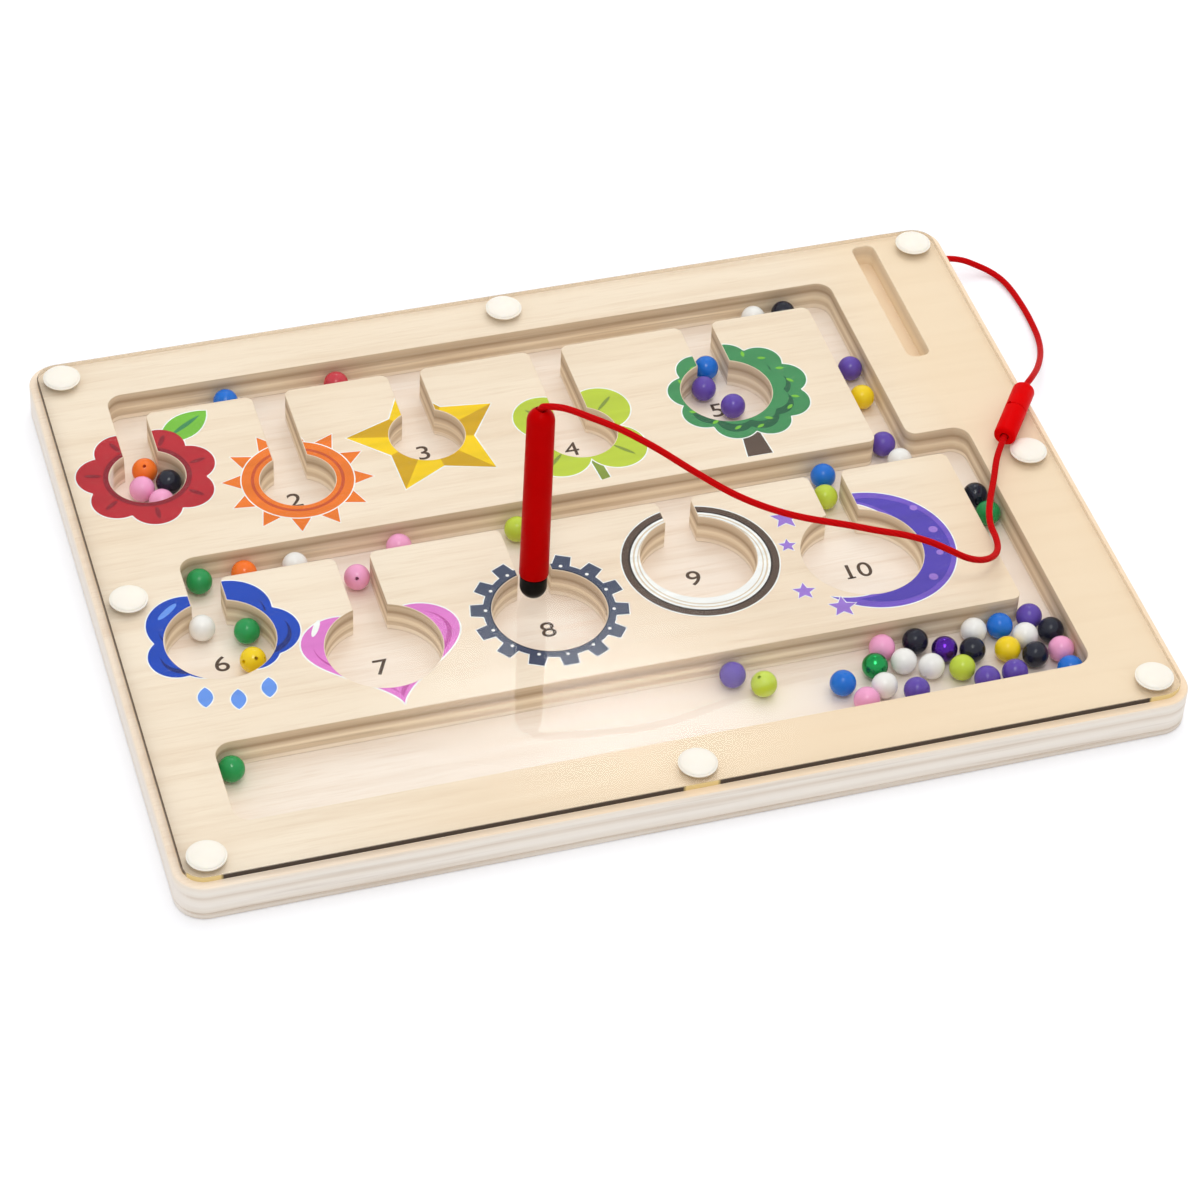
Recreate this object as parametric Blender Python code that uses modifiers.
"""Magnetic bead maze: a wooden channel board under a clear cover, loose beads, and a magnet pen on a cord."""
import math

import bmesh
import bpy
from mathutils import Matrix, Vector

MM = 0.001

# Clearances
RUNNING_GAP = 0.3 * MM
SEAT_GAP = 0.15 * MM
CUT_OVERRUN = 1.0 * MM

# Board: a thin base glued under a thick panel, 300 by 225 mm
BOARD_LENGTH = 300.0 * MM
BOARD_WIDTH = 225.0 * MM
BOARD_CORNER = 9.0 * MM
BASE_THICKNESS = 2.4 * MM
WOOD_EDGE_ROUNDING = 0.8 * MM

# Beads, and the room they get in the panel
BEAD_DIAMETER = 7.8 * MM
BEAD_SPACING = 0.45 * MM
BEAD_HEADROOM = 1.9 * MM
BEAD_SEGMENTS = 12
BEAD_RINGS = 8
CHANNEL_SIDE_ROOM = 2.5 * MM

# Panel layout, as shares of the board's length along X and of its width along Y, from its centre
UPPER_CHANNEL_Y_SHARE = 0.3924
LOWER_CHANNEL_Y_SHARE = 0.0516
UPPER_BRANCH_X_SHARES = (-0.4109, -0.2657, -0.122, 0.0311, 0.1976)
LOWER_BRANCH_X_SHARES = (-0.3912, -0.2405, -0.0715, 0.0929, 0.2539)
UPPER_POCKET_Y_SHARES = (0.2433, 0.1884, 0.235, 0.1893, 0.2234)
LOWER_POCKET_Y_SHARES = (-0.0837, -0.1465, -0.1358, -0.087, -0.1301)
UPPER_DROP_X_SHARE = 0.341
LOWER_DROP_X_SHARE = 0.4033
STORE_LEFT_X_SHARE = -0.4297
STORE_FRONT_Y_SHARE = -0.4009

# Pocket radii as shares of a bead's diameter, and the store's width as a share of the beads' pitch
UPPER_POCKET_SHARES = (1.47, 1.47, 1.49, 1.47, 1.83)
LOWER_POCKET_SHARES = (2.075, 2.2, 2.174, 2.236, 2.365)
STORE_WIDTH_SHARE = 3.7

# Rounding of the cut corners in the panel
CHANNEL_CORNER = 5.0 * MM
ELBOW_CORNER = 3.5 * MM
LAND_CORNER = 2.5 * MM

# Narrow slot beside the upper right channel
SLOT_WIDTH = 7.4 * MM
SLOT_CORNER = 2.6 * MM
SLOT_X_SHARE = 0.414
SLOT_NEAR_Y_SHARE = 0.2295
SLOT_FAR_Y_SHARE = 0.4795
SLOT_DEPTH = 7.5 * MM

# Clear cover and the rivets that hold it
COVER_THICKNESS = 2.0 * MM
COVER_INSET = 2.5 * MM
COVER_EDGE_ROUNDING = 0.3 * MM
RIVET_HEAD_RADIUS = 5.7 * MM
RIVET_HEAD_HEIGHT = 1.9 * MM
RIVET_RIM_HEIGHT = 0.5 * MM
RIVET_SHANK_RADIUS = 1.9 * MM
RIVET_GRIP_IN_WOOD = 6.0 * MM
RIVET_TIP_CHAMFER = 0.6 * MM
RIVET_PLACE_SHARES = (
    (-0.4667, 0.456),
    (0.0055, 0.456),
    (0.4667, 0.456),
    (0.4667, -0.007),
    (0.4667, -0.456),
    (0.0033, -0.456),
    (-0.4667, -0.456),
    (-0.4667, 0.0059),
)

# Magnet pen, measured from the centre of its ball tip
PEN_X_SHARE = -0.0844
PEN_Y_SHARE = -0.1137
PEN_LEAN = math.radians(8.4)
PEN_LEAN_HEADING = math.radians(70.8)
PEN_BALL_RADIUS = 4.05 * MM
PEN_BARREL_START = 3.6 * MM
PEN_LENGTH = 65.4 * MM
PEN_LOWER_RADIUS = 4.35 * MM
PEN_UPPER_RADIUS = 4.1 * MM
PEN_MOUTH_CHAMFER = 0.3 * MM
PEN_MAGNET_RADIUS = 2.2 * MM
PEN_MAGNET_LENGTH = 8.0 * MM
PEN_TIP_FLOOR = 1.5 * MM
PEN_NECK_WALL = 0.6 * MM
PEN_NECK_LENGTH = 5.0 * MM
PEN_CORD_HEADING = math.radians(-40.0)
PEN_CORD_TILT = math.radians(30.0)
PEN_CORD_HOLE_DEPTH = 5.0 * MM

# Cord and the pull-apart clasp in it
CORD_DIAMETER = 2.0 * MM
CORD_POINT_SPACING = 6.0 * MM
CORD_POINT_TURN = math.radians(9.0)
CORD_SIDES_RESOLUTION = 2
CORD_HOLE_Y_SHARE = 0.45
CORD_HOLE_DEPTH = 6.0 * MM
CLASP_X_SHARE = 0.491
CLASP_Y_SHARE = 0.0978
CLASP_HEADING = math.radians(234.0)
CLASP_RADIUS = 3.5 * MM
CLASP_END_ROUNDING = 0.9 * MM
CLASP_SEAM_CHAMFER = 0.25 * MM
CLASP_SOCKET_LENGTH = 11.0 * MM
CLASP_PLUG_LENGTH = 12.7 * MM
CLASP_SPIGOT_RADIUS = 2.0 * MM
CLASP_SPIGOT_LENGTH = 6.0 * MM
CLASP_CORD_RECESS_RADIUS = 1.8 * MM
CLASP_CORD_RECESS_DEPTH = 3.0 * MM

# Cord routes in millimetres: out of the board's edge, along the table and up to the clasp
TAIL_ROUTE = (
    (145.0, 101.25, 7.55),
    (149.8, 101.25, 7.55),
    (154.0, 100.9, 7.1),
    (158.2, 100.5, 5.8),
    (162.2, 99.7, 3.8),
    (165.6, 98.4, 2.2),
    (168.1, 95.7, 1.4),
    (169.6, 91.7, 1.3),
    (170.4, 86.7, 1.3),
    (170.8, 80.7, 1.3),
    (170.9, 75.0, 1.3),
    (170.6, 69.0, 1.4),
    (169.8, 63.3, 2.0),
    (168.0, 56.9, 3.6),
    (165.2, 50.0, 6.3),
    (161.6, 42.8, 9.7),
    (157.8, 36.2, 13.0),
    (154.3, 30.9, 15.8),
    (151.4, 27.0, 17.6),
    (149.1, 24.4, 18.3),
    (147.3, 22.0, 18.35),
    (145.75, 19.86, 18.35),
)

# and from the clasp across the cover, then up to the pen's rounded top
LEAD_ROUTE = (
    (134.9, 4.93, 18.35),
    (133.28, 2.7, 18.35),
    (130.8, -0.8, 18.2),
    (127.8, -5.4, 17.3),
    (124.3, -12.5, 16.3),
    (120.7, -19.4, 16.0),
    (117.8, -25.8, 16.0),
    (116.2, -31.3, 16.0),
    (115.6, -36.9, 16.3),
    (114.2, -42.0, 17.4),
    (111.5, -46.8, 19.4),
    (107.6, -50.7, 21.9),
    (102.9, -53.3, 24.8),
    (98.0, -54.3, 28.0),
    (92.7, -53.8, 31.7),
    (86.7, -52.7, 35.3),
    (79.1, -51.7, 38.8),
    (70.3, -50.5, 41.6),
    (62.1, -49.3, 44.4),
    (48.4, -47.0, 48.5),
    (37.9, -45.0, 52.9),
    (27.9, -42.3, 58.3),
    (17.6, -38.5, 65.3),
    (7.6, -33.1, 71.7),
    (-0.7, -28.3, 75.9),
    (-6.0, -25.6, 78.0),
    (-10.0, -23.7, 79.4),
    (-13.9, -21.9, 80.8),
    (-16.4, -20.8, 81.5),
    (-18.3, -20.0, 81.7),
    (-20.0, -19.15, 81.55),
    (-21.35, -18.15, 81.05),
    (-22.08, -17.41, 80.41),
    (-22.39, -17.15, 79.72),
    (-22.96, -16.67, 78.42),
    (-23.54, -16.19, 77.12),
)

# Loose beads. Each place is in beads' pitches from an anchor point of the panel
UPPER_CHANNEL_BEAD_SHARES = (
    ("blue", -0.3053, 0.112),
    ("red", -0.1877, 0.112),
    ("white", 0.2702, 0.015),
    ("navy", 0.3042, 0.024),
)
LOWER_CHANNEL_BEAD_SHARES = (
    ("green", -0.3897, 0.084),
    ("orange", -0.3443, 0.109),
    ("white", -0.2929, 0.078),
    ("pink", -0.1863, 0.109),
)
UPPER_DROP_BEAD_SHARES = (("purple", 0.2551, 0.109), ("yellow", 0.1931, 0.006))
FIRST_POCKET_BEAD_SHARES = (
    ("orange", 0.099, 1.11),
    ("navy", 0.824, 0.286),
    ("pink", -0.198, 0.152),
    ("pink", 0.359, -0.679),
)
FIFTH_POCKET_BEAD_SHARES = (("blue", -0.056, 2.219), ("purple", -0.507, 1.095), ("purple", 0.266, -0.136))
SIXTH_POCKET_BEAD_SHARES = (("white", -0.366, 1.418), ("green", 1.14, 0.88), ("yellow", 1.018, -0.589))
SEVENTH_BRANCH_BEAD_SHARES = (("pink", 0.103, -1.08),)
EIGHTH_BRANCH_BEAD_SHARES = (("lime", 0.238, -0.04),)
TENTH_BRANCH_BEAD_SHARES = (("blue", 0.258, -0.029), ("lime", -0.048, -1.145))
UPPER_DROP_FOOT_BEAD_SHARES = (("white", 0.182, 0.096), ("purple", -0.122, 1.125))
LOWER_DROP_BEADS_Y_SHARE = -0.0457
LOWER_DROP_BEAD_SHARES = (("navy", -0.008, 0.253), ("green", 0.113, -0.793))
STORE_LEFT_BEAD_SHARES = (("green", 0.52, -0.596),)
STORE_MIDDLE_X_SHARE = 0.0763
STORE_MIDDLE_BEAD_SHARES = (("purple", 0.195, -0.516), ("lime", 1.127, -1.219))
STORE_PILE_BEAD_SHARES = (
    ("blue", -8.661, 1.838),
    ("pink", -8.119, 0.839),
    ("green", -7.277, 2.363),
    ("pink", -6.72, 3.185),
    ("navy", -5.459, 3.185),
    ("white", -5.32, 1.858),
    ("purple", -6.235, 0.862),
    ("lime", -4.278, 1.522),
    ("white", -3.229, 3.185),
    ("yellow", -2.376, 1.999),
    ("blue", -0.546, 0.536),
)

# Derived sizes
BEAD_PITCH = BEAD_DIAMETER + BEAD_SPACING
PANEL_THICKNESS = BEAD_DIAMETER + RUNNING_GAP + BEAD_HEADROOM
CHANNEL_WIDTH = BEAD_DIAMETER + CHANNEL_SIDE_ROOM
HALF_CHANNEL = CHANNEL_WIDTH / 2
STORE_WIDTH = STORE_WIDTH_SHARE * BEAD_PITCH
PANEL_BOTTOM = BASE_THICKNESS + SEAT_GAP
PANEL_TOP = PANEL_BOTTOM + PANEL_THICKNESS
COVER_BOTTOM = PANEL_TOP + SEAT_GAP
COVER_TOP = COVER_BOTTOM + COVER_THICKNESS
BEAD_HEIGHT = BASE_THICKNESS + RUNNING_GAP + BEAD_DIAMETER / 2
CORD_RADIUS = CORD_DIAMETER / 2
CORD_HOLE_RADIUS = CORD_RADIUS + RUNNING_GAP

CORNER_STEPS = 6
SMALL_CORNER_STEPS = 4
POCKET_STEPS = 30
TURNED_STEPS = 24
HOLE_STEPS = 12
RIVET_STEPS = 18
DOME_STEPS = 5

COLOURS = {
    "birch": (0.80, 0.62, 0.40),
    "clear": (0.95, 0.97, 0.97),
    "ivory": (0.88, 0.85, 0.74),
    "red": (0.62, 0.005, 0.008),
    "black": (0.008, 0.008, 0.009),
    "magnet": (0.35, 0.35, 0.36),
    "blue": (0.010, 0.085, 0.42),
    "navy": (0.010, 0.014, 0.030),
    "white": (0.82, 0.81, 0.79),
    "pink": (0.78, 0.26, 0.52),
    "orange": (0.78, 0.19, 0.012),
    "purple": (0.105, 0.040, 0.36),
    "yellow": (0.80, 0.58, 0.012),
    "lime": (0.40, 0.60, 0.035),
    "green": (0.012, 0.24, 0.055),
}


def clear_scene():
    """Remove every object that is in the file."""
    for old in list(bpy.data.objects):
        bpy.data.objects.remove(old, do_unlink=True)


def make_material(name, colour, roughness=0.35, metallic=0.0, alpha=1.0):
    """A Principled material with one colour."""
    material = bpy.data.materials.new(name)
    material.use_nodes = True
    shader = material.node_tree.nodes["Principled BSDF"]
    shader.inputs["Base Color"].default_value = (*colour, 1.0)
    shader.inputs["Roughness"].default_value = roughness
    shader.inputs["Metallic"].default_value = metallic
    shader.inputs["Alpha"].default_value = alpha
    material.diffuse_color = (*colour, alpha)
    return material


def make_collection(name):
    """A new collection in the scene."""
    collection = bpy.data.collections.new(name)
    bpy.context.scene.collection.children.link(collection)
    return collection


def add_object(name, data, collection, material=None, smooth_angle=None):
    """Put mesh or curve data into the scene as a named object."""
    new_object = bpy.data.objects.new(name, data)
    collection.objects.link(new_object)
    if material is not None:
        data.materials.append(material)
    if smooth_angle is not None:
        data.shade_smooth()
        data.set_sharp_from_angle(angle=smooth_angle)
    return new_object


def add_cutter(name, mesh, collection):
    """A shape that only cuts others."""
    cutter = add_object(name, mesh, collection)
    cutter.hide_render = True
    cutter.display_type = "WIRE"
    return cutter


def cut_with(target, cutter):
    """Take the cutter's volume out of the target."""
    modifier = target.modifiers.new(cutter.name, "BOOLEAN")
    modifier.operation = "DIFFERENCE"
    modifier.object = cutter


def arc_points(centre_x, centre_y, radius, start, sweep, steps):
    """Points along an arc, both ends included."""
    points = []
    for step in range(steps + 1):
        angle = start + sweep * step / steps
        points.append((centre_x + radius * math.cos(angle), centre_y + radius * math.sin(angle)))
    return points


def rounded_corner(before, corner, after, radius, steps):
    """The arc that replaces a corner between two straight edges."""
    here = Vector(corner)
    back = (Vector(before) - here).normalized()
    ahead = (Vector(after) - here).normalized()
    half_angle = back.angle(ahead) / 2
    reach = radius / math.tan(half_angle)
    centre = here + (back + ahead).normalized() * (radius / math.sin(half_angle))
    first = here + back * reach - centre
    last = here + ahead * reach - centre
    start = math.atan2(first.y, first.x)
    sweep = math.atan2(last.y, last.x) - start
    sweep = (sweep + math.pi) % math.tau - math.pi
    return arc_points(centre.x, centre.y, radius, start, sweep, steps)


def rounded_rectangle(left, right, front, back, radius, steps=CORNER_STEPS):
    """Outline of a rectangle with round corners, anticlockwise."""
    points = arc_points(right - radius, front + radius, radius, -math.pi / 2, math.pi / 2, steps)
    points += arc_points(right - radius, back - radius, radius, 0, math.pi / 2, steps)
    points += arc_points(left + radius, back - radius, radius, math.pi / 2, math.pi / 2, steps)
    points += arc_points(left + radius, front + radius, radius, math.pi, math.pi / 2, steps)
    return points


def slab_mesh(name, outline, bottom, top, top_rounding=0.0, bottom_rounding=0.0):
    """A flat slab with the given outline, and its rims rounded if asked."""
    work = bmesh.new()
    base = work.faces.new([work.verts.new((x, y, bottom)) for x, y in outline])
    raised = bmesh.ops.extrude_face_region(work, geom=[base])
    lifted = [item for item in raised["geom"] if isinstance(item, bmesh.types.BMVert)]
    bmesh.ops.translate(work, verts=lifted, vec=(0, 0, top - bottom))
    bmesh.ops.recalc_face_normals(work, faces=work.faces)
    middle = (bottom + top) / 2
    for rounding, is_top in ((top_rounding, True), (bottom_rounding, False)):
        if rounding > 0:
            rim = [
                edge
                for edge in work.edges
                if all((vertex.co.z > middle) == is_top for vertex in edge.verts)
                and not all(abs(face.normal.z) > 0.5 for face in edge.link_faces)
            ]
            bmesh.ops.bevel(work, geom=rim, offset=rounding, segments=2, profile=0.5, affect="EDGES")
    mesh = bpy.data.meshes.new(name)
    work.to_mesh(mesh)
    work.free()
    return mesh


def cylinder_into(work, radius, depth, matrix, steps=HOLE_STEPS):
    """Add a capped cylinder to a bmesh."""
    bmesh.ops.create_cone(
        work, cap_ends=True, segments=steps, radius1=radius, radius2=radius, depth=depth, matrix=matrix
    )


def turned_object(name, profile, collection, material, steps=TURNED_STEPS):
    """A solid of revolution about Z, from a profile that runs down its outer side."""
    mesh = bpy.data.meshes.new(name)
    vertices = [(radius, 0, height) for radius, height in profile]
    edges = [(index, index + 1) for index in range(len(profile) - 1)]
    mesh.from_pydata(vertices, edges, [])
    turned = add_object(name, mesh, collection, material)
    screw = turned.modifiers.new("Turn", "SCREW")
    screw.axis = "Z"
    screw.steps = steps
    screw.render_steps = steps
    screw.use_merge_vertices = True
    screw.merge_threshold = 0.01 * MM
    screw.use_smooth_shade = True
    return turned


def place_x(share):
    """A place along the board's length."""
    return share * BOARD_LENGTH


def place_y(share):
    """A place across the board's width."""
    return share * BOARD_WIDTH


def upper_branches():
    """Branch centre, pocket centre and pocket radius of each pocket in the upper row."""
    radii = [share * BEAD_DIAMETER for share in UPPER_POCKET_SHARES]
    return [
        (place_x(x), place_y(y), radius)
        for x, y, radius in zip(UPPER_BRANCH_X_SHARES, UPPER_POCKET_Y_SHARES, radii)
    ]


def lower_branches():
    """The same for the lower row."""
    radii = [share * BEAD_DIAMETER for share in LOWER_POCKET_SHARES]
    return [
        (place_x(x), place_y(y), radius)
        for x, y, radius in zip(LOWER_BRANCH_X_SHARES, LOWER_POCKET_Y_SHARES, radii)
    ]


def branch_stations(branches, channel_y, channel_corner):
    """Corners and pockets met when following the underside of a channel from left to right."""
    stations = []
    for index, (x, pocket_y, radius) in enumerate(branches):
        if index == 0:
            stations.append(("corner", x - HALF_CHANNEL, channel_y + HALF_CHANNEL, channel_corner))
        else:
            stations.append(("corner", x - HALF_CHANNEL, channel_y - HALF_CHANNEL, LAND_CORNER))
        stations.append(("pocket", x, pocket_y, radius))
        stations.append(("corner", x + HALF_CHANNEL, channel_y - HALF_CHANNEL, LAND_CORNER))
    return stations


def track_stations():
    """The whole channel network, anticlockwise from the store's front left corner."""
    upper_y = place_y(UPPER_CHANNEL_Y_SHARE)
    lower_y = place_y(LOWER_CHANNEL_Y_SHARE)
    upper_drop = place_x(UPPER_DROP_X_SHARE)
    lower_drop = place_x(LOWER_DROP_X_SHARE)
    store_left = place_x(STORE_LEFT_X_SHARE)
    store_front = place_y(STORE_FRONT_Y_SHARE)
    store_back = store_front + STORE_WIDTH
    stations = [
        ("corner", store_left, store_front, CHANNEL_CORNER),
        ("corner", lower_drop + HALF_CHANNEL, store_front, CHANNEL_CORNER),
        ("corner", lower_drop + HALF_CHANNEL, lower_y + HALF_CHANNEL, CHANNEL_CORNER),
        ("corner", upper_drop + HALF_CHANNEL, lower_y + HALF_CHANNEL, ELBOW_CORNER),
        ("corner", upper_drop + HALF_CHANNEL, upper_y + HALF_CHANNEL, CHANNEL_CORNER),
    ]
    stations += branch_stations(upper_branches(), upper_y, CHANNEL_CORNER)
    stations.append(("corner", upper_drop - HALF_CHANNEL, upper_y - HALF_CHANNEL, LAND_CORNER))
    stations.append(("corner", upper_drop - HALF_CHANNEL, lower_y + HALF_CHANNEL, LAND_CORNER))
    stations += branch_stations(lower_branches(), lower_y, CHANNEL_CORNER)
    stations.append(("corner", lower_drop - HALF_CHANNEL, lower_y - HALF_CHANNEL, LAND_CORNER))
    stations.append(("corner", lower_drop - HALF_CHANNEL, store_back, LAND_CORNER))
    stations.append(("corner", store_left, store_back, CHANNEL_CORNER))
    return stations


def track_outline():
    """The network's outline, with round corners and pockets."""
    stations = track_stations()
    points = []
    for index, (kind, x, y, radius) in enumerate(stations):
        if kind == "pocket":
            mouth = math.asin(HALF_CHANNEL / radius)
            start = math.pi / 2 + mouth
            points += arc_points(x, y, radius, start, math.tau - 2 * mouth, POCKET_STEPS)
            continue
        before = straight_neighbour(stations, index, -1)
        after = straight_neighbour(stations, index, 1)
        points += rounded_corner(before, (x, y), after, radius, SMALL_CORNER_STEPS)
    return points


def straight_neighbour(stations, index, step):
    """The end of the straight wall next to a corner; a pocket's branch wall runs straight to its mouth."""
    kind, x, y, radius = stations[(index + step) % len(stations)]
    if kind == "corner":
        return (x, y)
    corner_x = stations[index][1]
    return (corner_x, y)


def rivet_places():
    """Centre of each rivet on the board."""
    return [(place_x(x), place_y(y)) for x, y in RIVET_PLACE_SHARES]


def build_rivet_holes(cutters):
    """One cutter with a hole for each rivet's shank, through the cover and into the panel."""
    work = bmesh.new()
    low = PANEL_TOP - RIVET_GRIP_IN_WOOD - RUNNING_GAP
    high = COVER_TOP + CUT_OVERRUN
    for x, y in rivet_places():
        matrix = Matrix.Translation((x, y, (low + high) / 2))
        cylinder_into(work, RIVET_SHANK_RADIUS + RUNNING_GAP, high - low, matrix)
    mesh = bpy.data.meshes.new("rivet_holes")
    work.to_mesh(mesh)
    work.free()
    return add_cutter("rivet_holes", mesh, cutters)


def build_board(parts, cutters, materials):
    """Base board, channel panel and clear cover."""
    half_length = BOARD_LENGTH / 2
    half_width = BOARD_WIDTH / 2
    outline = rounded_rectangle(-half_length, half_length, -half_width, half_width, BOARD_CORNER)
    base_mesh = slab_mesh("base_board", outline, 0.0, BASE_THICKNESS, bottom_rounding=WOOD_EDGE_ROUNDING)
    add_object("base_board", base_mesh, parts, materials["birch"])

    panel_mesh = slab_mesh("maze_panel", outline, PANEL_BOTTOM, PANEL_TOP, top_rounding=WOOD_EDGE_ROUNDING)
    panel = add_object("maze_panel", panel_mesh, parts, materials["birch"])
    cut_low = PANEL_BOTTOM - CUT_OVERRUN
    cut_high = PANEL_TOP + CUT_OVERRUN
    track = add_cutter("track_cut", slab_mesh("track_cut", track_outline(), cut_low, cut_high), cutters)
    slot_x = place_x(SLOT_X_SHARE)
    slot_outline = rounded_rectangle(
        slot_x - SLOT_WIDTH / 2,
        slot_x + SLOT_WIDTH / 2,
        place_y(SLOT_NEAR_Y_SHARE),
        place_y(SLOT_FAR_Y_SHARE),
        SLOT_CORNER,
        SMALL_CORNER_STEPS,
    )
    slot_low = PANEL_TOP - SLOT_DEPTH
    slot = add_cutter("slot_cut", slab_mesh("slot_cut", slot_outline, slot_low, cut_high), cutters)
    rivet_holes = build_rivet_holes(cutters)
    cut_with(panel, track)
    cut_with(panel, slot)
    cut_with(panel, rivet_holes)
    cut_with(panel, build_cord_hole(cutters))

    cover_outline = rounded_rectangle(
        COVER_INSET - half_length,
        half_length - COVER_INSET,
        COVER_INSET - half_width,
        half_width - COVER_INSET,
        BOARD_CORNER - COVER_INSET,
    )
    cover_mesh = slab_mesh(
        "clear_cover", cover_outline, COVER_BOTTOM, COVER_TOP, top_rounding=COVER_EDGE_ROUNDING
    )
    cover = add_object("clear_cover", cover_mesh, parts, materials["clear"])
    cut_with(cover, rivet_holes)


def build_cord_hole(cutters):
    """Blind hole in the panel's right edge, where the cord is glued in."""
    work = bmesh.new()
    depth = CORD_HOLE_DEPTH + CUT_OVERRUN
    centre = Vector(
        (
            BOARD_LENGTH / 2 - CORD_HOLE_DEPTH + depth / 2,
            place_y(CORD_HOLE_Y_SHARE),
            (PANEL_BOTTOM + PANEL_TOP) / 2,
        )
    )
    matrix = Matrix.Translation(centre) @ Matrix.Rotation(math.pi / 2, 4, "Y")
    cylinder_into(work, CORD_HOLE_RADIUS, depth, matrix)
    mesh = bpy.data.meshes.new("cord_hole")
    work.to_mesh(mesh)
    work.free()
    return add_cutter("cord_hole", mesh, cutters)


def build_rivets(parts, materials):
    """Domed rivets that clamp the cover to the panel."""
    dome = RIVET_HEAD_HEIGHT - RIVET_RIM_HEIGHT
    profile = []
    for step in range(DOME_STEPS + 1):
        angle = math.pi / 2 * (1 - step / DOME_STEPS)
        profile.append((RIVET_HEAD_RADIUS * math.cos(angle), RIVET_RIM_HEIGHT + dome * math.sin(angle)))
    profile[0] = (0.0, RIVET_HEAD_HEIGHT)
    tip = -SEAT_GAP - COVER_THICKNESS - SEAT_GAP - RIVET_GRIP_IN_WOOD
    profile += [
        (RIVET_HEAD_RADIUS, 0.0),
        (RIVET_SHANK_RADIUS, 0.0),
        (RIVET_SHANK_RADIUS, tip + RIVET_TIP_CHAMFER),
        (RIVET_SHANK_RADIUS - RIVET_TIP_CHAMFER, tip),
        (0.0, tip),
    ]
    for number, (x, y) in enumerate(rivet_places(), start=1):
        rivet = turned_object(f"cover_rivet_{number}", profile, parts, materials["ivory"], RIVET_STEPS)
        rivet.location = (x, y, COVER_TOP + SEAT_GAP)


def pen_tip_profile():
    """Round tip with a neck that plugs into the barrel, hollow for the magnet."""
    bore = PEN_MAGNET_RADIUS + RUNNING_GAP
    neck = bore + PEN_NECK_WALL
    shoulder = PEN_BARREL_START - SEAT_GAP
    floor = PEN_TIP_FLOOR - PEN_BALL_RADIUS
    profile = [
        (0.0, floor),
        (bore, floor),
        (bore, shoulder + PEN_NECK_LENGTH),
        (neck, shoulder + PEN_NECK_LENGTH),
        (neck, shoulder),
    ]
    profile.append((PEN_BALL_RADIUS, shoulder))
    for step in range(2 * DOME_STEPS):
        angle = -math.pi / 2 * step / (2 * DOME_STEPS)
        profile.append((PEN_BALL_RADIUS * math.cos(angle), PEN_BALL_RADIUS * math.sin(angle)))
    profile.append((0.0, -PEN_BALL_RADIUS))
    return profile


def pen_barrel_profile():
    """Tapered barrel with a round top, bored from below for the tip's neck."""
    top = PEN_LENGTH - PEN_BALL_RADIUS
    dome_centre = top - PEN_UPPER_RADIUS
    bore = PEN_MAGNET_RADIUS + RUNNING_GAP + PEN_NECK_WALL + SEAT_GAP
    bore_end = PEN_BARREL_START + PEN_NECK_LENGTH + PEN_TIP_FLOOR
    profile = [(0.0, top)]
    for step in range(1, DOME_STEPS + 1):
        angle = math.pi / 2 * (1 - step / DOME_STEPS)
        profile.append((PEN_UPPER_RADIUS * math.cos(angle), dome_centre + PEN_UPPER_RADIUS * math.sin(angle)))
    profile += [
        (PEN_LOWER_RADIUS, PEN_BARREL_START + PEN_MOUTH_CHAMFER),
        (PEN_LOWER_RADIUS - PEN_MOUTH_CHAMFER, PEN_BARREL_START),
        (bore, PEN_BARREL_START),
        (bore, bore_end),
        (0.0, bore_end),
    ]
    return profile


def pen_matrix():
    """Frame of the leaning pen, with its origin at the ball's centre."""
    foot = Vector((place_x(PEN_X_SHARE), place_y(PEN_Y_SHARE), COVER_TOP + RUNNING_GAP + PEN_BALL_RADIUS))
    tilt_axis = Vector((-math.sin(PEN_LEAN_HEADING), math.cos(PEN_LEAN_HEADING), 0.0))
    return Matrix.Translation(foot) @ Matrix.Rotation(PEN_LEAN, 4, tilt_axis)


def build_pen_cord_hole(cutters, frame):
    """Hole down from the pen's round top, tilted towards the side the cord leaves on."""
    heading = Vector((math.cos(PEN_CORD_HEADING), math.sin(PEN_CORD_HEADING), 0.0))
    along = heading * math.sin(PEN_CORD_TILT) + Vector((0, 0, math.cos(PEN_CORD_TILT)))
    top = frame @ Vector((0, 0, PEN_LENGTH - PEN_BALL_RADIUS))
    overrun = 2 * CUT_OVERRUN
    depth = PEN_CORD_HOLE_DEPTH + overrun
    centre = top + along * (overrun - depth / 2)
    matrix = Matrix.Translation(centre) @ along.to_track_quat("Z", "Y").to_matrix().to_4x4()
    work = bmesh.new()
    cylinder_into(work, CORD_HOLE_RADIUS, depth, matrix)
    mesh = bpy.data.meshes.new("pen_cord_hole")
    work.to_mesh(mesh)
    work.free()
    return add_cutter("pen_cord_hole", mesh, cutters)


def build_pen(parts, cutters, materials):
    """Barrel, ball tip and magnet, all carried by one leaning empty."""
    frame = pen_matrix()
    carrier = bpy.data.objects.new("pen_frame", None)
    parts.objects.link(carrier)
    carrier.matrix_world = frame
    barrel = turned_object("pen_barrel", pen_barrel_profile(), parts, materials["red"])
    tip = turned_object("pen_tip", pen_tip_profile(), parts, materials["black"])
    floor = PEN_TIP_FLOOR - PEN_BALL_RADIUS + SEAT_GAP
    magnet_profile = [
        (0.0, floor + PEN_MAGNET_LENGTH),
        (PEN_MAGNET_RADIUS, floor + PEN_MAGNET_LENGTH),
        (PEN_MAGNET_RADIUS, floor),
        (0.0, floor),
    ]
    magnet = turned_object("pen_magnet", magnet_profile, parts, materials["magnet"])
    for piece in (barrel, tip, magnet):
        piece.parent = carrier
    cut_with(barrel, build_pen_cord_hole(cutters, frame))


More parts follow.
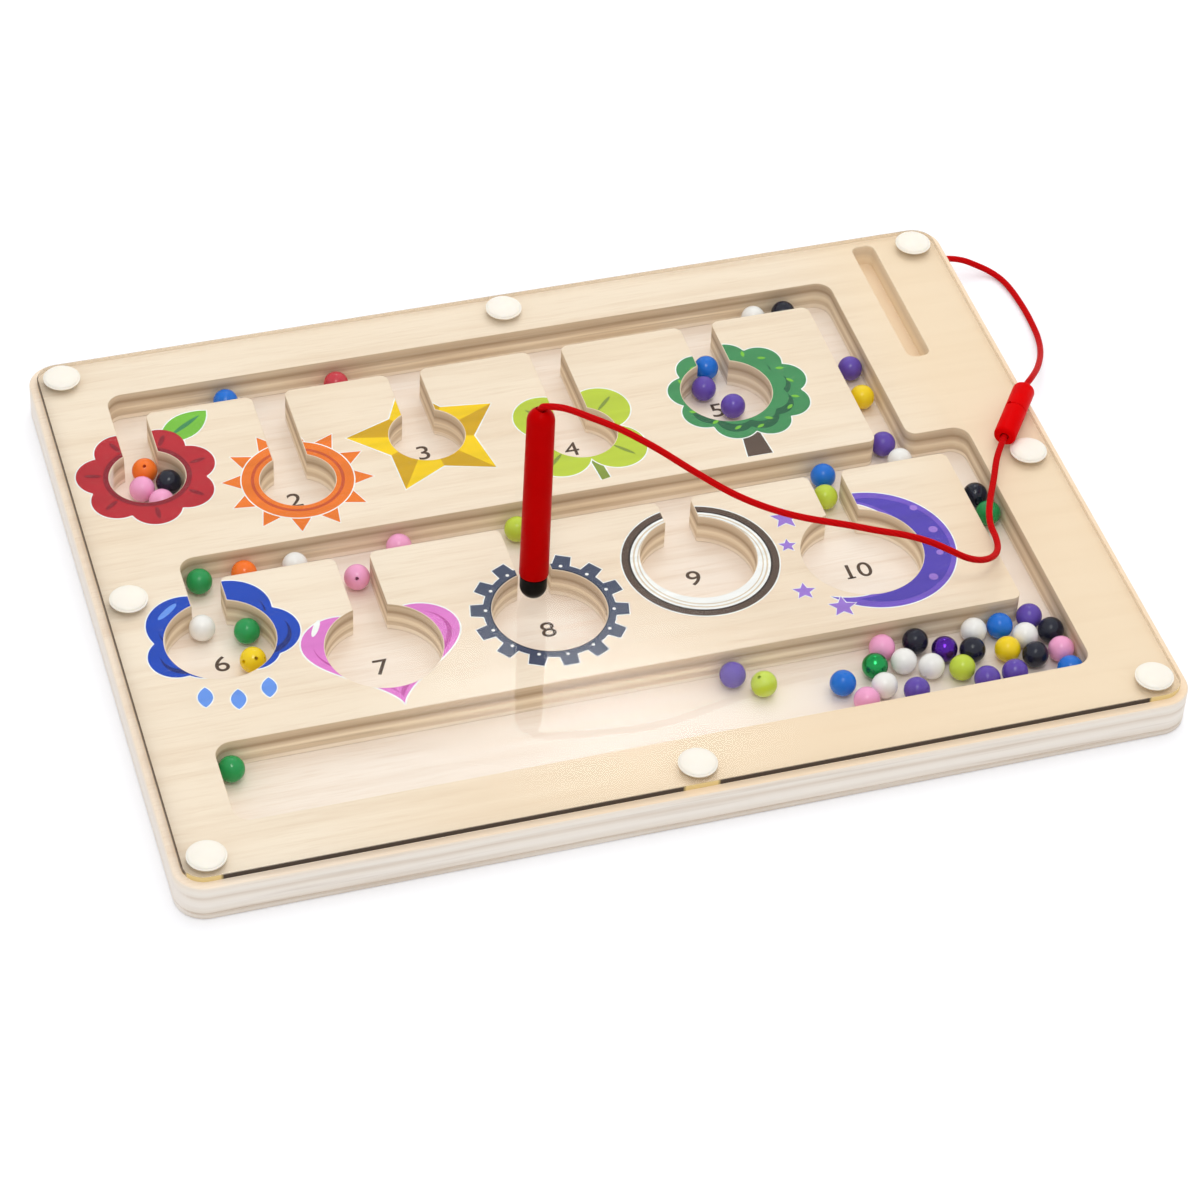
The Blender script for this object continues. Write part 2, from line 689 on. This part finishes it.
def clasp_matrix():
    """Frame of the clasp: +Z runs from the socket's cord end towards the plug's cord end."""
    start = Vector((place_x(CLASP_X_SHARE), place_y(CLASP_Y_SHARE), COVER_TOP + SEAT_GAP + CLASP_RADIUS))
    along = Vector((math.cos(CLASP_HEADING), math.sin(CLASP_HEADING), 0.0))
    return Matrix.Translation(start) @ along.to_track_quat("Z", "Y").to_matrix().to_4x4()


def clasp_half_profiles():
    """Profiles of the socket and the plug, in the clasp's frame."""
    seam = CLASP_SOCKET_LENGTH
    bore = CLASP_SPIGOT_RADIUS + RUNNING_GAP
    bore_end = seam - CLASP_SPIGOT_LENGTH - RUNNING_GAP
    socket = [
        (0.0, bore_end),
        (bore, bore_end),
        (bore, seam),
        (CLASP_RADIUS - CLASP_SEAM_CHAMFER, seam),
        (CLASP_RADIUS, seam - CLASP_SEAM_CHAMFER),
        (CLASP_RADIUS, CLASP_END_ROUNDING),
        (CLASP_RADIUS - CLASP_END_ROUNDING, 0.0),
        (CLASP_CORD_RECESS_RADIUS, 0.0),
        (CLASP_CORD_RECESS_RADIUS, CLASP_CORD_RECESS_DEPTH),
        (0.0, CLASP_CORD_RECESS_DEPTH),
    ]
    face = seam + SEAT_GAP
    end = face + CLASP_PLUG_LENGTH
    plug = [
        (0.0, end - CLASP_CORD_RECESS_DEPTH),
        (CLASP_CORD_RECESS_RADIUS, end - CLASP_CORD_RECESS_DEPTH),
        (CLASP_CORD_RECESS_RADIUS, end),
        (CLASP_RADIUS - CLASP_END_ROUNDING, end),
        (CLASP_RADIUS, end - CLASP_END_ROUNDING),
        (CLASP_RADIUS, face + CLASP_SEAM_CHAMFER),
        (CLASP_RADIUS - CLASP_SEAM_CHAMFER, face),
        (CLASP_SPIGOT_RADIUS, face),
        (CLASP_SPIGOT_RADIUS, face - CLASP_SPIGOT_LENGTH),
        (0.0, face - CLASP_SPIGOT_LENGTH),
    ]
    return socket, plug


def build_clasp(parts, materials):
    """The two halves of the pull-apart clasp."""
    carrier = bpy.data.objects.new("clasp_frame", None)
    parts.objects.link(carrier)
    carrier.matrix_world = clasp_matrix()
    socket_profile, plug_profile = clasp_half_profiles()
    for name, profile in (("clasp_socket", socket_profile), ("clasp_plug", plug_profile)):
        half = turned_object(name, profile, parts, materials["red"])
        half.parent = carrier


def smooth_route(route):
    """Points on a smooth curve through a route given in millimetres, closer together where it bends."""
    knots = [Vector(point) * MM for point in route]
    padded = [2 * knots[0] - knots[1], *knots, 2 * knots[-1] - knots[-2]]
    dense = []
    pieces_per_span = 16
    for index in range(1, len(padded) - 2):
        before, start, end, after = padded[index - 1 : index + 3]
        for piece in range(pieces_per_span):
            share = piece / pieces_per_span
            square = share * share
            cube = square * share
            point = (
                start * 2
                + (end - before) * share
                + (before * 2 - start * 5 + end * 4 - after) * square
                + (start * 3 - before - end * 3 + after) * cube
            )
            dense.append(point / 2)
    dense.append(knots[-1])
    points = [dense[0]]
    run = 0.0
    turn = 0.0
    for before, here, after in zip(dense, dense[1:], dense[2:]):
        run += (here - before).length
        turn += (here - before).angle(after - here)
        if run > CORD_POINT_SPACING or turn > CORD_POINT_TURN:
            points.append(here)
            run = 0.0
            turn = 0.0
    if run < CORD_RADIUS:
        points.pop()
    points.append(dense[-1])
    return points


def build_cord(name, route, parts, material):
    """One stretch of cord as a round tube along its route."""
    points = smooth_route(route)
    curve = bpy.data.curves.new(name, "CURVE")
    curve.dimensions = "3D"
    curve.bevel_depth = CORD_RADIUS
    curve.bevel_resolution = CORD_SIDES_RESOLUTION
    curve.use_fill_caps = True
    spline = curve.splines.new("POLY")
    spline.points.add(len(points) - 1)
    for spline_point, place in zip(spline.points, points):
        spline_point.co = (*place, 1.0)
    curve.materials.append(material)
    cord = bpy.data.objects.new(name, curve)
    parts.objects.link(cord)


def bead_places():
    """Colour and centre of every bead, from the panel's own places."""
    upper_y = place_y(UPPER_CHANNEL_Y_SHARE)
    lower_y = place_y(LOWER_CHANNEL_Y_SHARE)
    upper_drop = place_x(UPPER_DROP_X_SHARE)
    lower_drop = place_x(LOWER_DROP_X_SHARE)
    store_left = place_x(STORE_LEFT_X_SHARE)
    store_front = place_y(STORE_FRONT_Y_SHARE)
    store_back = store_front + STORE_WIDTH
    upper = upper_branches()
    lower = lower_branches()
    places = []
    for colour, share, aside in UPPER_CHANNEL_BEAD_SHARES:
        places.append((colour, place_x(share), upper_y + aside * BEAD_PITCH))
    for colour, share, aside in LOWER_CHANNEL_BEAD_SHARES:
        places.append((colour, place_x(share), lower_y + aside * BEAD_PITCH))
    for colour, share, aside in UPPER_DROP_BEAD_SHARES:
        places.append((colour, upper_drop + aside * BEAD_PITCH, place_y(share)))
    clusters = (
        (upper[0][0], upper[0][1], FIRST_POCKET_BEAD_SHARES),
        (upper[4][0], upper[4][1], FIFTH_POCKET_BEAD_SHARES),
        (lower[0][0], lower[0][1], SIXTH_POCKET_BEAD_SHARES),
        (lower[1][0], lower_y, SEVENTH_BRANCH_BEAD_SHARES),
        (lower[2][0], lower_y, EIGHTH_BRANCH_BEAD_SHARES),
        (lower[4][0], lower_y, TENTH_BRANCH_BEAD_SHARES),
        (upper_drop, lower_y, UPPER_DROP_FOOT_BEAD_SHARES),
        (lower_drop, place_y(LOWER_DROP_BEADS_Y_SHARE), LOWER_DROP_BEAD_SHARES),
        (store_left, store_back, STORE_LEFT_BEAD_SHARES),
        (place_x(STORE_MIDDLE_X_SHARE), store_back, STORE_MIDDLE_BEAD_SHARES),
        (lower_drop + HALF_CHANNEL, store_front, STORE_PILE_BEAD_SHARES),
    )
    for anchor_x, anchor_y, shares in clusters:
        for colour, x_share, y_share in shares:
            places.append((colour, anchor_x + x_share * BEAD_PITCH, anchor_y + y_share * BEAD_PITCH))
    return places


def build_beads(parts, materials):
    """One round bead at each place, with its origin at its centre."""
    for number, (colour, x, y) in enumerate(bead_places(), start=1):
        name = f"bead_{number:02d}_{colour}"
        work = bmesh.new()
        bmesh.ops.create_uvsphere(
            work, u_segments=BEAD_SEGMENTS, v_segments=BEAD_RINGS, radius=BEAD_DIAMETER / 2
        )
        mesh = bpy.data.meshes.new(name)
        work.to_mesh(mesh)
        work.free()
        mesh.shade_smooth()
        bead = add_object(name, mesh, parts, materials[colour])
        bead.location = (x, y, BEAD_HEIGHT)


def make_materials():
    """Every colour as a material."""
    finishes = {
        "birch": {"roughness": 0.6},
        "clear": {"roughness": 0.05, "alpha": 0.2},
        "magnet": {"metallic": 1.0},
    }
    return {name: make_material(name, colour, **finishes.get(name, {})) for name, colour in COLOURS.items()}


def main():
    clear_scene()
    parts = make_collection("magnetic_bead_maze")
    cutters = make_collection("cutters")
    materials = make_materials()
    build_board(parts, cutters, materials)
    build_rivets(parts, materials)
    build_pen(parts, cutters, materials)
    build_clasp(parts, materials)
    build_cord("cord_tail", TAIL_ROUTE, parts, materials["red"])
    build_cord("cord_lead", LEAD_ROUTE, parts, materials["red"])
    build_beads(parts, materials)


main()
